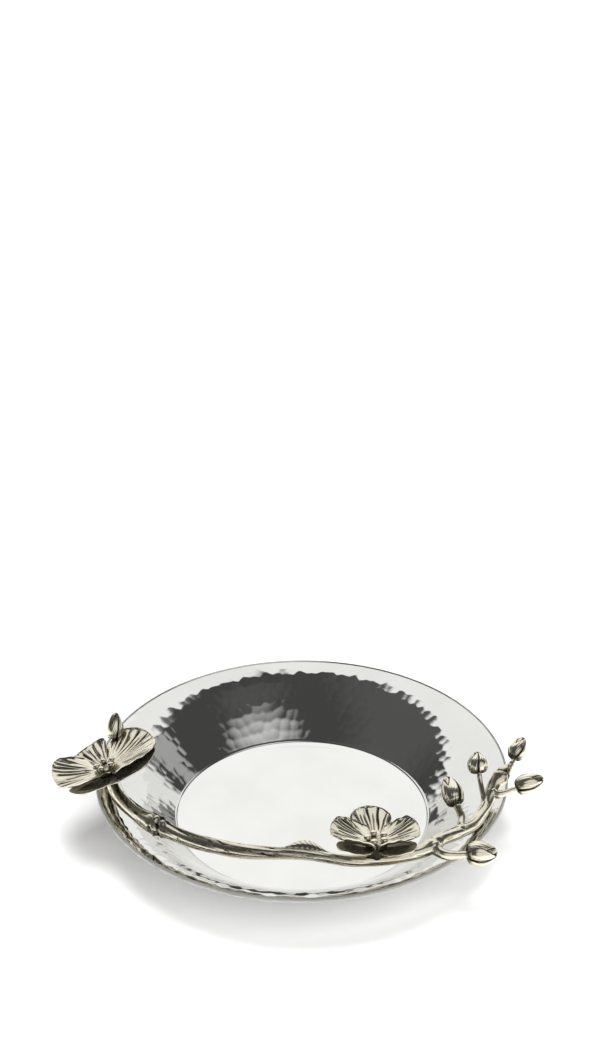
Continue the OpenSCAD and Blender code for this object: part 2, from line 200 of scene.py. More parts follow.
# Rings of a rod's rounded end, and its reach and its tip's height as shares of the radius
CAP_RINGS = 5
CAP_REACH = 0.7
CAP_TIP = 0.1
# Brings a sum of waves to about -1 to 1
WAVE_SPREAD = 1.6


def held(x):
    """x held between 0 and 1."""
    return np.clip(x, 0, 1)


def ease(x):
    """Smooth step from 0 to 1: three squares less two cubes of x."""
    x = held(x)
    return x * x * (3 - 2 * x)


def bell(x, reach):
    """Bell curve: e to the minus square of x over the reach."""
    return np.exp(-(x / reach) ** 2)


def round_angles(sides):
    """Even angles once round, as a row."""
    return np.linspace(0, TURN, sides, endpoint=False)[None, :]


def wall_z(r):
    """Height of the wall's upper face: a quarter wave plus a straight slope, from the floor's step
    to the lip."""
    low = mm("sheet_thickness") + STEP_HEIGHT
    rise = mm("rim_height") - LIP_RADIUS + mm("sheet_thickness") / 2 - low
    s = along_wall(r)
    return low + rise * ((1 - WALL_SLOPE_SHARE) * np.sin(np.pi / 2 * s) + WALL_SLOPE_SHARE * s)


def along_wall(r):
    """Share of the wall's width at radius r."""
    floor_r = mm("floor_diameter") / 2
    return (r - floor_r) / (mm("rim_diameter") / 2 - LIP_RADIUS - floor_r)


def wall_angle(r):
    """Slope of the wall's upper face in radians, from its height to either side."""
    return np.arctan((wall_z(r + SLOPE_REACH) - wall_z(r - SLOPE_REACH)) / (2 * SLOPE_REACH))


def place(row, rod_d):
    """[azimuth, share of the rim's radius, height over the rim in branch thicknesses, thickness
    share] as [x, y, z, radius]; a height of LIES rests the rod on the wall."""
    azimuth, share, lift, thick = row
    r = share * mm("rim_diameter") / 2
    rod_r = thick * rod_d / 2
    if lift is LIES:
        z = wall_z(r) + (rod_r + 2 * SEAT_GAP) / np.cos(wall_angle(r))
    else:
        z = mm("rim_height") + lift * mm("branch_thickness")
    a = np.radians(azimuth)
    return [r * np.cos(a), r * np.sin(a), z, rod_r]


def smooth(rows, steps):
    """Catmull-Rom curve through the rows, with the end rows repeated."""
    rows = np.asarray(rows, float)
    u = np.linspace(0, len(rows) - 1, steps * (len(rows) - 1) + 1)
    i = np.minimum(u.astype(int), len(rows) - 2)
    t = (u - i)[:, None]
    padded = np.vstack([rows[:1], rows, rows[-1:]])
    a, b, c, d = (padded[i + k] for k in range(4))
    return (b + t * (c - a) / 2 + t ** 2 * (2 * a - 5 * b + 4 * c - d) / 2
            + t ** 3 * (3 * b - a - 3 * c + d) / 2)


def unit(v):
    return v / np.linalg.norm(v, axis=-1, keepdims=True)


def headings(line):
    """Unit vectors along a line."""
    return unit(np.gradient(line[:, :3], axis=0))


def travelled(line):
    """Distance along a line in millimetres."""
    steps = np.linalg.norm(np.diff(line[:, :3], axis=0), axis=1)
    return np.concatenate([[0], np.cumsum(steps)])


def waves(seed, count, across, along):
    """Seeded sum of waves in the angle a and the distance s, from about -1 to 1. Whole numbers of
    waves go round, up to across, so the ring closes; along is the fastest pace per millimetre."""
    rng = np.random.default_rng(seed)
    turns = rng.integers(1, across + 1, count)
    pace = rng.uniform(-along, along, count)
    phase = rng.uniform(0, TURN, count)

    def value(a, s):
        total = np.sin(a[..., None] * turns + s[..., None] * pace + phase).sum(-1)
        return total / np.sqrt(count) / WAVE_SPREAD
    return value


def rod(line, sides, shape):
    """Rod along a line of [x, y, z, radius]: the ring at distance s has the radius times
    shape(a, s) at angle a, and both ends are rounded by a quarter circle of rings. Returns a
    surface and its patina and painted shade."""
    ahead = headings(line)
    angles = np.linspace(0, np.pi / 2, CAP_RINGS + 2)[1:-1]

    def cap(row, way):
        reach = np.sin(angles)[:, None] * row[3] * CAP_REACH
        return np.hstack([row[:3] + way * reach, row[3] * np.cos(angles)[:, None]])
    line = np.vstack([cap(line[0], -ahead[0])[::-1], line, cap(line[-1], ahead[-1])])
    ahead = headings(line)
    right = unit(np.cross(ahead, [0.0, 0.0, 1.0]))
    above = np.cross(right, ahead)
    s = travelled(line)[:, None]
    a = round_angles(sides)
    factor, patina_and_shade = shape(a + 0 * s, s + 0 * a)
    r = (line[:, 3:4] * factor)[..., None]
    rings = line[:, None, :3] + r * (
        np.cos(a)[..., None] * right[:, None] + np.sin(a)[..., None] * above[:, None])
    start = rings[0].mean(0) - ahead[0] * line[0, 3] * CAP_TIP
    end = rings[-1].mean(0) + ahead[-1] * line[-1, 3] * CAP_TIP
    return (*skin(rings, start, end), np.concatenate([patina_and_shade.ravel(), [0, 0]]))


# ---- the branch's layout

# Rows for place(), from the tail at the left to the stub at the right
BRANCH = [
    (-180, 0.925, LIES, 0.62), (-175.5, 0.922, LIES, 0.90), (-171, 0.917, LIES, 1.04),
    (-162, 0.900, 0.36, 1.04), (-151, 0.867, 0.46, 1.08), (-144.5, 0.846, 0.54, 1.36),
    (-138, 0.825, 0.54, 1.02), (-130, 0.802, 0.54, 1.00), (-121, 0.775, 0.54, 1.00),
    (-112, 0.755, 0.54, 0.97), (-102, 0.733, 0.54, 0.84), (-91, 0.727, 0.54, 0.72),
    (-82, 0.752, 0.48, 0.72), (-74, 0.790, 0.36, 0.76), (-66, 0.825, 0.36, 0.84),
    (-59, 0.858, 0.41, 0.88), (-53, 0.884, 0.46, 0.94), (-48.5, 0.893, 0.54, 1.06),
    (-44, 0.890, 0.54, 0.92), (-37, 0.912, 0.39, 0.86), (-31, 0.925, LIES, 0.84),
    (-25.5, 0.927, LIES, 0.84), (-20.5, 0.929, LIES, 0.84), (-16.5, 0.934, 0.62, 0.88),
    (-13.8, 0.944, 0.92, 0.94), (-11.8, 0.966, 1.16, 1.12), (-9.6, 0.990, 1.40, 0.80)]
LARGE_FLOWER_ROW = 2
KNOB_ROW = 5
SMALL_FLOWER_ROW = 14
FORK_ROW = 17
STUB_ROW = 25

# Twig: row of the branch that it leaves, or None for the tail, its rows for place(), and its bud's
# length and width shares
TWIGS = {
    "tail": (None, [(-180, 0.925, 0.16, 0.80), (177.5, 0.922, 0.44, 0.80),
                    (175, 0.920, 1.00, 0.78), (173.6, 0.921, 1.60, 0.80)], (0.90, 0.83)),
    "low": (17, [(-48.4, 0.958, 0.42, 1.26), (-46, 1.004, 0.36, 1.00),
                 (-43.5, 1.036, 0.34, 0.80)], (1.00, 1.12)),
    "inner": (19, [(-33, 0.885, 0.70, 1.06), (-31.5, 0.858, 1.00, 0.94),
                   (-29.8, 0.828, 1.26, 0.90)], (1.04, 1.00)),
    "thin": (22, [(-18.5, 0.905, 0.62, 0.74), (-16, 0.883, 1.05, 0.66),
                  (-13.6, 0.866, 1.62, 0.62)], (0.72, 0.98)),
    "upper": (26, [(-8.2, 1.004, 1.52, 0.86), (-6.8, 1.017, 1.62, 0.66),
                   (-5.6, 1.025, 1.78, 0.64)], (0.86, 0.86)),
    "outer": (23, [(-17, 0.970, 0.66, 1.00), (-16.4, 1.004, 0.77, 0.84),
                   (-14.6, 1.052, 0.96, 0.62)], (1.00, 0.96)),
}
# Rings of the curve between two rows
BRANCH_STEPS = 24
TWIG_STEPS = 20


def branch_rows():
    return np.array([place(row, mm("branch_thickness")) for row in BRANCH])


def twig_line(name):
    """Line of a twig, from the branch's middle line to the foot of its bud."""
    root, rows, _ = TWIGS[name]
    placed = [place(row, mm("twig_thickness")) for row in rows]
    if root is not None:
        placed.insert(0, [*branch_rows()[root][:3], placed[0][3]])
    return smooth(placed, TWIG_STEPS)


# ---- materials

# Shares of a colour where it is duller, and the roughness of its haze
STEEL_DULL = (0.93, 0.93, 0.93)
STEEL_HAZE = (0.025, 0.075)
PLATE_DULL = (0.9, 0.88, 0.84)
PLATE_HAZE = 0.09
TABLE_DULL = (0.99, 0.99, 0.99)
# The screws' light and dark steel, and their roughness
SCREW_COLOURS = ((0.55, 0.55, 0.56), (0.42, 0.42, 0.43))
SCREW_HAZE = (0.22, 0.4)
# The part of a noise's values that the materials stretch
NOISE_RANGE = (0.3, 0.7)


def finish():
    return bpy.context.scene.coaster_finish


def new_material(name):
    material = bpy.data.materials.new(name)
    material.use_nodes = True
    return material, Nodes(material.node_tree)


def new_metal(name):
    material, m = new_material(name)
    m.shader.inputs["Metallic"].default_value = 1.0
    return material, m


def dulled(colour, shares):
    return [c * share for c, share in zip(colour, shares)]


class Nodes:
    """Short way to build nodes and links in a tree."""

    def __init__(self, tree):
        self.tree = tree
        self.shader = tree.nodes.get("Principled BSDF")

    def add(self, kind, links=None, **values):
        """A node with its links and values; underscores stand for the spaces in an input's name."""
        node = self.tree.nodes.new(kind)
        for key, value in values.items():
            if key in node.bl_rna.properties:
                setattr(node, key, value)
            else:
                node.inputs[key.replace("_", " ")].default_value = value
        for key, output in (links or {}).items():
            self.tree.links.new(output, node.inputs[key])
        return node

    def noise(self, scale, detail, roughness=0.5):
        """Noise on Object coordinates with features of 1/scale metres."""
        where = self.add("ShaderNodeTexCoord").outputs["Object"]
        node = self.add("ShaderNodeTexNoise", {"Vector": where},
                        Scale=scale, Detail=detail, Roughness=roughness)
        return node.outputs["Fac"]

    def patina_and_shade(self):
        return self.add("ShaderNodeAttribute", attribute_name="patina_and_shade").outputs["Fac"]

    def map(self, value, low, high, to_low, to_high):
        node = self.add("ShaderNodeMapRange", {"Value": value},
                        From_Min=low, From_Max=high, To_Min=to_low, To_Max=to_high)
        return node.outputs["Result"]

    def mix(self, factor, a, b):
        """Colour a where factor is 0 and b where it is 1."""
        node = self.add("ShaderNodeMix", {0: factor}, data_type="RGBA")
        for socket, value in ((node.inputs[6], a), (node.inputs[7], b)):
            if isinstance(value, bpy.types.NodeSocket):
                self.tree.links.new(value, socket)
            else:
                socket.default_value = (*value, 1.0)
        return node.outputs[2]

    def plus_square(self, a, b):
        """a plus the square of b."""
        node = self.add("ShaderNodeMath", {0: b, 1: b, 2: a}, operation="MULTIPLY_ADD")
        return node.outputs["Value"]

    def most(self, a, b):
        return self.add("ShaderNodeMath", {0: a, 1: b}, operation="MAXIMUM").outputs["Value"]

    def bump(self, height, distance, strength, below=None):
        """Normal bent by a height, over the normal below if one is given."""
        links = {"Height": height} if below is None else {"Height": height, "Normal": below}
        node = self.add("ShaderNodeBump", links, Strength=strength, Distance=distance)
        return node.outputs["Normal"]

    def link(self, output, socket):
        self.tree.links.new(output, self.shader.inputs[socket])


def hammered_steel():
    """Mirror-polished steel: fine buffing haze, a trace of orange peel over the hammer blows, and a
    rough lip where the attribute of patina and painted shade marks it as filed."""
    material, m = new_metal("hammered_mirror_steel")
    colour = finish().steel
    cloudy = m.map(m.noise(38, 3), *NOISE_RANGE, 0, 1)
    m.link(m.mix(cloudy, colour, dulled(colour, STEEL_DULL)), "Base Color")
    haze = m.map(m.noise(420, 4, 0.6), 0.3, 0.75, *STEEL_HAZE)
    m.link(m.plus_square(haze, m.patina_and_shade()), "Roughness")
    m.link(m.bump(m.noise(260, 2), 0.00004, 0.5), "Normal")
    return material


def nickel_plate(name, tint, haze, peel):
    """Warm nickel plate over a casting: dark patina in the grooves and painted shade and painted
    dark reflections where the pieces mark them, cast waviness of the peel's height in metres, and a
    haze that follows both."""
    material, m = new_metal(name)
    colour = [c * tint for c in finish().plate]
    speckle = m.noise(900, 4, 0.65)
    speckled = m.plus_square(m.patina_and_shade(), m.map(speckle, *NOISE_RANGE, -0.5, 0.5))
    dark = m.map(speckled, 0.30, 0.95, 0, 1)
    cloudy = m.map(m.noise(140, 3), 0.35, 0.65, 0, 1)
    tone = m.mix(cloudy, colour, dulled(colour, PLATE_DULL))
    m.link(m.mix(dark, tone, finish().patina_and_shade), "Base Color")
    buffed = m.map(m.noise(500, 3), *NOISE_RANGE, haze, haze + PLATE_HAZE)
    m.link(m.plus_square(buffed, dark), "Roughness")
    cast = m.bump(m.noise(330, 3, 0.55), peel, 1.0)
    m.link(m.bump(speckle, peel * 0.35, 0.8, cast), "Normal")
    return material


def screw_steel():
    """Turned steel: a grain of fine noise in its colour, its haze and its height."""
    material, m = new_metal("turned_steel")
    m.link(m.mix(m.map(m.noise(700, 4), *NOISE_RANGE, 0, 1), *SCREW_COLOURS), "Base Color")
    m.link(m.map(m.noise(1500, 3), *NOISE_RANGE, *SCREW_HAZE), "Roughness")
    m.link(m.bump(m.noise(2200, 2), 0.00002, 0.6), "Normal")
    return material


# ---- the dish

DISH_SIDES = 768
# Rings of the floor and of the foot's face, as shares of the floor's radius
FLOOR_RINGS = (0.24, 0.48, 0.68, 0.84, 0.93)
FOOT_RINGS = (0.92, 0.76, 0.48, 0.24)
STEP_RINGS = 6
WALL_RINGS = 62
LIP_RINGS = 16
UNDER_RINGS = 34
# The lip's arc in radians from straight up, and the underside's start inside the lip's middle and
# the foot's inside the floor's edge, in millimetres
LIP_ARC = (-0.1, 3.6)
UNDER_INSET = 0.6
FOOT_INSET = 0.3
# Hammer blows: the seed, the greatest shift as a share of their distance, the shallowest as a share
# of the deepest, the greatest tilt, and the shares of the wall over which they fade out
BLOW_SEED = 11
BLOW_SHIFT = 0.30
BLOW_SHALLOWEST = 0.4
BLOW_TILT = 0.35
FLOOR_FADE = 0.04
LIP_FADE = 0.02
# The wall's length up its slope against its width
WALL_STRETCH = 1.22


def hammer(a, r, t, width, depth):
    """Height of the hammered face at azimuth a, radius r and distance t up the wall: the lowest of
    the round-bottomed dents about it. Dents lie in rows up the wall, evenly spaced round each row
    and shifted by seeded draws."""
    rng = np.random.default_rng(BLOW_SEED)
    rows = int(np.ceil(t.max() / width)) + 3
    per_row = int(round(TURN * r.mean() / width))
    shift = rng.uniform(-BLOW_SHIFT, BLOW_SHIFT, (rows, per_row, 2))
    deep = rng.uniform(BLOW_SHALLOWEST, 1.0, (rows, per_row))
    tilt = rng.uniform(-1, 1, (rows, per_row, 2)) * BLOW_TILT
    row0 = np.floor(t / width).astype(int)
    best = np.full(np.broadcast(a, r, t).shape, np.inf)
    for row_step in (-1, 0, 1):
        row = row0 + row_step
        k = np.clip(row + 1, 0, rows - 1)
        stagger = 0.5 * (k % 2)
        column0 = np.floor(a / TURN * per_row - stagger).astype(int)
        for column_step in (-1, 0, 1, 2):
            column = column0 + column_step
            j = column % per_row
            across = (a - TURN * (column + stagger + shift[k, j, 0]) / per_row) * r / width
            up = t / width - (row + 0.5 + shift[k, j, 1])
            dent = depth * (4 * (across ** 2 + up ** 2) - deep[k, j]
                            + tilt[k, j, 0] * across + tilt[k, j, 1] * up)
            best = np.minimum(best, dent)
    return best


def dish_parts():
    """The dish as one closed surface of revolution: a ring profile from the floor's centre over the
    step, up the hammered wall, round the lip and back underneath. Hammer blows move the wall along
    its own normal. The attribute of patina and painted shade marks the lip as filed."""
    sheet = mm("sheet_thickness")
    floor_r = mm("floor_diameter") / 2
    end_r = mm("rim_diameter") / 2 - LIP_RADIUS
    lip_z = mm("rim_height") - LIP_RADIUS
    floor = [(floor_r * share, sheet) for share in FLOOR_RINGS] + [
        (floor_r - STEP_WIDTH + STEP_WIDTH * s, sheet + STEP_HEIGHT * ease(s))
        for s in np.linspace(0, 1, STEP_RINGS, endpoint=False)]
    wall = [(r, wall_z(r)) for r in np.linspace(floor_r, end_r, WALL_RINGS)]
    lip = [(end_r + LIP_RADIUS * np.sin(q), lip_z + LIP_RADIUS * np.cos(q))
           for q in np.linspace(*LIP_ARC, LIP_RINGS)]
    under = [(r + sheet * np.sin(wall_angle(r)), wall_z(r) - sheet * np.cos(wall_angle(r)))
             for r in np.linspace(end_r - UNDER_INSET, floor_r, UNDER_RINGS)]
    foot = [(floor_r - FOOT_INSET, 0.0)] + [(floor_r * share, 0.0) for share in FOOT_RINGS]
    profile = np.array(floor + wall + lip + under + foot)
    radius, height = profile[:, 0:1], profile[:, 1:2]
    a = round_angles(DISH_SIDES)
    wall_end = len(floor) + len(wall)
    lip_end = wall_end + len(lip)
    push = np.zeros((len(profile), DISH_SIDES))
    for low, high in ((len(floor), wall_end), (lip_end, lip_end + len(under))):
        r = radius[low:high]
        s = held(along_wall(r))
        t = s * (end_r - floor_r) * WALL_STRETCH
        fade = held(s / FLOOR_FADE) * held((1 - s) / LIP_FADE)
        push[low:high] = hammer(a, r, t, mm("blow_width"), mm("blow_depth")) * fade
    slope = wall_angle(np.clip(radius, floor_r, end_r))
    ring_r = radius - push * np.sin(slope)
    rings = np.stack([ring_r * np.cos(a), ring_r * np.sin(a), height + push * np.cos(slope)], -1)
    filed = np.zeros(len(profile))
    filed[wall_end:lip_end] = 1
    surface = skin(rings, [0, 0, sheet], [0, 0, 0])
    return [(*surface, np.concatenate([np.repeat(filed, DISH_SIDES), [0, 0]]))]


# ---- the branch, twigs and buds

BRANCH_SIDES = 48
TWIG_SIDES = 32
BUD_RINGS = 88
BUD_SIDES = 168
# Bark: heights of its ridges, lumps and wrinkles as shares of the radius
RIDGE_SHARE = 0.045
LUMP_SHARE = 0.027
WRINKLE_SHARE = 0.012
# Folds: row of the branch, shift along it, reach, folds round it, height share and extra darkening,
# which at the stub is painted shade on its shaded face. The rings that are folded most lie
# FOLD_LAG further along.
FOLDS = [
    (KNOB_ROW, 2.5, 3.4, 5, 0.24, 0.15),
    (FORK_ROW, 0.0, 3.0, 4, 0.10, 0.0),
    # At the stub the extra darkening is painted shade
    (STUB_ROW, 0.0, 2.6, 3, 0.10, 0.45),
]
FOLD_LAG = 2.5
# Painted dark reflection: where its streaks start before the fork, and how far on they are full
REFLECTION_FROM = 8
REFLECTION_OVER = 30
# Flare of a foot: share of the radius and millimetres over which it falls
TWIG_FLARE = (0.55, 1.1)
TAIL_FLARE = (0.25, 1.5)
# A bud's scales: how many, and how far the outer and the inner ones twist from foot to tip
SCALES = 3
OUTER_TWIST = 0.4
INNER_TWIST = -1.6
# How far a bud's foot is sunk in its twig, its bend as a share of its width, and the share of its
# length past which the tip is clean
BUD_SINK = 0.25
BUD_BEND = 0.05
CLEAN_TIP = 0.985


def bark(seed, ridges, twist):
    """Shape of cast bark: soft ridges that turn slowly round the rod, lumps, and fine wrinkles. The
    wrinkles and the bottoms between the ridges hold patina."""
    coarse = waves(seed, 9, 3, 0.30)
    fine = waves(seed + 1, 14, 9, 1.6)

    def shape(a, s):
        ridge = np.abs(np.cos(ridges / 2 * a + twist * s * ridges))
        wrinkles = fine(a, s)
        factor = (1 - RIDGE_SHARE + RIDGE_SHARE * ridge + LUMP_SHARE * coarse(a, s)
                  - WRINKLE_SHARE * np.maximum(wrinkles, 0) ** 2)
        return factor, 0.55 * held(wrinkles - 0.35) + 0.35 * (1 - ridge) ** 4
    return shape


def branch_parts():
    """The branch: a rod with cast bark along a smooth curve. About each of the FOLDS a bell curve
    raises creases that run askew, and towards the large flower streaks of painted dark reflection
    fade in."""
    line = smooth(branch_rows(), BRANCH_STEPS)
    plain = bark(3, ridges=5, twist=0.035)
    reflection_streaks = waves(9, 12, 5, 0.16)
    s_of = travelled(line)
    fork = s_of[FORK_ROW * BRANCH_STEPS]

    def shape(a, s):
        factor, patina_and_shade = plain(a, s)
        # Painted dark reflection: a darker tone in streaks over the bark towards the large flower
        painted_reflection = held((fork - REFLECTION_FROM - s) / REFLECTION_OVER)
        patina_and_shade = patina_and_shade + painted_reflection * (0.24 + 0.75 * held(reflection_streaks(a, s)))
        for row, shift, reach, folds, height, shade in FOLDS:
            along = s - s_of[row * BRANCH_STEPS] - shift
            near = bell(along - FOLD_LAG, reach)
            crease = np.sin(1.7 * along + 1.3 * np.sin(a * 2 + folds))
            factor = factor + near * height * (crease * 0.5 + 0.3 * np.sin(folds * a))
            # Patina in the creases, plus each fold's extra darkening, which at the stub is painted
            # shade
            patina_and_shade = patina_and_shade + near * (0.8 * held(-crease - 0.45) + shade)
        return factor, patina_and_shade
    return [rod(line, BRANCH_SIDES, shape)]


def twig_parts(name, seed):
    """A twig: a rod whose foot flares by an exponential into the branch that it leaves, with a
    raised ring below its bud and a line of patina round its foot."""
    root = TWIGS[name][0]
    line = twig_line(name)
    length = travelled(line)[-1]
    start = 0 if root is None else branch_rows()[root][3]
    flare, fall = TAIL_FLARE if root is None else TWIG_FLARE
    plain = bark(seed, ridges=3, twist=0.06)

    def shape(a, s):
        factor, patina_and_shade = plain(a, s)
        away = np.maximum(s - start, 0)
        factor = factor + flare * np.exp(-away / fall) + 0.10 * bell(s - length + 0.8, 0.7)
        return factor, patina_and_shade + 0.5 * bell(away - 1.6, 0.5)
    return [rod(line, TWIG_SIDES, shape)]


def scales(a, u, twist, turn0):
    """Saw-tooth of overlapping scales round a bud, 0 at a scale's hidden edge and 1 at its free
    edge, and the patina along the seams."""
    turned = (SCALES * (a + twist * u + turn0) / TURN) % 1
    seam = bell(1 - turned, 0.06) + 0.8 * bell(turned, 0.07)
    return (0.3 + 0.7 * turned ** 0.8) * ease((1 - turned) / 0.07), seam


def bud_parts(name, seed):
    """A bud: a surface of revolution, egg-shaped with a blunt tip. The outer scales end in arches
    below the tip and stand over inner scales that turn the other way."""
    length_share, width_share = TWIGS[name][2]
    line = twig_line(name)
    way = unit(line[-1, :3] - line[-3, :3])
    foot = line[-1, 3]
    length, width = mm("bud_length") * length_share, mm("bud_width") * width_share
    turn0 = np.random.default_rng(seed).uniform(0, TURN)
    u = np.sin(np.linspace(0, np.pi / 2, BUD_RINGS + 2)[1:-1])[:, None] ** 2
    a = round_angles(BUD_SIDES)
    body = np.sin(np.pi * u ** 0.78) ** 0.50
    arch = (0.50 + 0.42 * np.abs(np.cos(SCALES / 2 * (a + OUTER_TWIST * u + turn0))) ** 0.8
            + 0.03 * np.sin(2 * a + turn0))
    over = ease((arch - u) / 0.04)
    outer, outer_seam = scales(a, u, OUTER_TWIST, turn0)
    inner, inner_seam = scales(a, u, INNER_TWIST, turn0 + 1.1)
    vein = 1 - np.abs(np.sin(8 * (a + 0.9 * u) + 1.2 * np.sin(3 * a + 4 * u + turn0)))
    fade = np.sin(np.pi * held(u * 1.05)) ** 0.5
    shape = 0.97 + fade * (over * (0.07 + 0.13 * (outer - 0.6)) + (1 - over) * 0.16 * (inner - 0.6)
                           - 0.030 * vein ** 2)
    collar = 0.22 * foot * bell(u - 0.05, 0.05)
    r = foot * (1 - u) + (width / 2 - foot / 2) * body * shape + collar
    right = unit(np.cross(way, [0.31, -0.2, 0.93]))
    above = np.cross(right, way)
    origin = line[-1, :3] - way * BUD_SINK
    bend = BUD_BEND * width * u ** 2
    centre = origin + way * (length * u)[..., None] + right * bend[..., None]
    rings = centre + r[..., None] * (np.cos(a)[..., None] * right + np.sin(a)[..., None] * above)
    # Patina in the seams and the veins; painted shade just past the arched edges of the outer
    # scales and over the inner scales under them; darker towards the foot
    under = bell(u - arch - 0.02, 0.035)
    patina_and_shade = (over * outer_seam + (1 - over) * (inner_seam + 0.35) + 1.1 * under
              + 0.45 * vein ** 3 + 0.7 * np.exp(-u / 0.08) + 0.15 * held(1 - 1.6 * u))
    tip = origin + way * length + right * BUD_BEND * width
    surface = skin(rings, origin - way * 0.1, tip)
    return [(*surface, np.concatenate([(patina_and_shade * (u < CLEAN_TIP)).ravel(), [0, 0]]))]


# ---- the flowers and the leaf

# Flowers: row of the branch, lean about X and Y in degrees, and each blade's azimuth, length and
# half width shares, half sector in degrees, and tilt, curl and bowl shares
FLOWERS = {
    "large": (LARGE_FLOWER_ROW, (-6, -20), {
        "left_petal": (212, 0.97, 0.70, 82, -0.03, 0.22, 0.20),
        "right_petal": (20, 1.05, 0.88, 86, -0.08, 0.15, 0.10),
        "back_petal": (134, 0.93, 0.66, 42, 0, 0.10, 0.19),
        "front_sepal": (253, 0.98, 0.48, 50, 0, 0.02, 0.22),
        "side_sepal": (328, 1.08, 0.62, 56, 0, 0.02, 0.20)}),
    "small": (SMALL_FLOWER_ROW, (-7, 0), {
        "left_petal": (184, 1.00, 0.70, 84, 0.17, 0.17, 0.28),
        "right_petal": (-4, 0.94, 0.70, 84, -0.17, 0.17, 0.28),
        "back_petal": (99, 1.08, 0.46, 44, 0, 0.02, 0.28),
        "front_sepal": (212, 0.97, 0.34, 56, 0, 0.02, 0.30),
        "side_sepal": (322, 0.97, 0.38, 56, 0, 0.02, 0.30)}),
}
# Kinds of blade: points round the section, distance and depth shares of the veins, height of the
# rim in millimetres, and keel and ruffle shares
BLADE_KINDS = {
    "petal": (420, 1.0, 1.0, 0.26, 0.3, 1.0),
    "sepal": (220, 0.8, 0.7, 0.12, 1.0, 0.6),
}
BLADE_RINGS = 90
# Shares along a blade of its widest place, and across it of the claw and of the tip
WIDEST = 0.56
NARROW_CLAW = 0.40
BROAD_CLAW = 0.75
TIP = 0.10
# Millimetres: the stalk, the petals' layer over the sepals' and what the back and the other petals
# add to it, the neck, where a wrapped corner ends, and where the veins meet behind the axis
STALK_HEIGHT = 5.0
LAYER_HEIGHT = 2.1
BACK_LAYER = -0.45
SIDE_LAYER = 0.1
NECK_RADIUS = 2.4
CORNER_RADIUS = 0.4
VEINS_MEET = 1.5
# Degrees from vein to vein, and how many veins have draws of their own
VEIN_ANGLE = 6.8
VEIN_DRAWS = 64
# The cap: its seat over the petals' layer and its rise in petal thicknesses, and its radius and its
# beads' ring in neck radii
CAP_SEAT = 0.46
CAP_RISE = 0.75
CAP_RADIUS = 1.60
BEAD_RING = 1.40
# Beads: the seed, the seat below the middle in radii, the seat's latitude, and the bead's spread
# and flatness
BEAD_SEED = 70
BEAD_SEAT = 0.7
BEAD_LATITUDE = -0.78
BEAD_SPREAD = 1.06
BEAD_FLATNESS = 0.78
# Leaf: its first row and how many rows it runs, then millimetres of reach, thickness and gap, and
# degrees of rise
LEAF_FROM = 10.4
LEAF_ROWS = 1.8
LEAF_REACH = 4.0
LEAF_THICKNESS = 0.8
LEAF_GAP = 0.05
LEAF_ANGLE = 25
LEAF_RINGS = 60
LEAF_SIDES = 96


def to_flower(points, flower):
    """Points in a flower's own axes, leant about X, then about Y, and moved onto the branch."""
    row, (lean_x, lean_y), _ = FLOWERS[flower]
    cx, sx, cy, sy = (f(np.radians(q)) for q in (lean_x, lean_y) for f in (np.cos, np.sin))
    about_x = np.array([[1, 0, 0], [0, cx, -sx], [0, sx, cx]])
    about_y = np.array([[cy, 0, sy], [0, 1, 0], [-sy, 0, cy]])
    return points @ (about_y @ about_x).T + branch_rows()[row][:3]


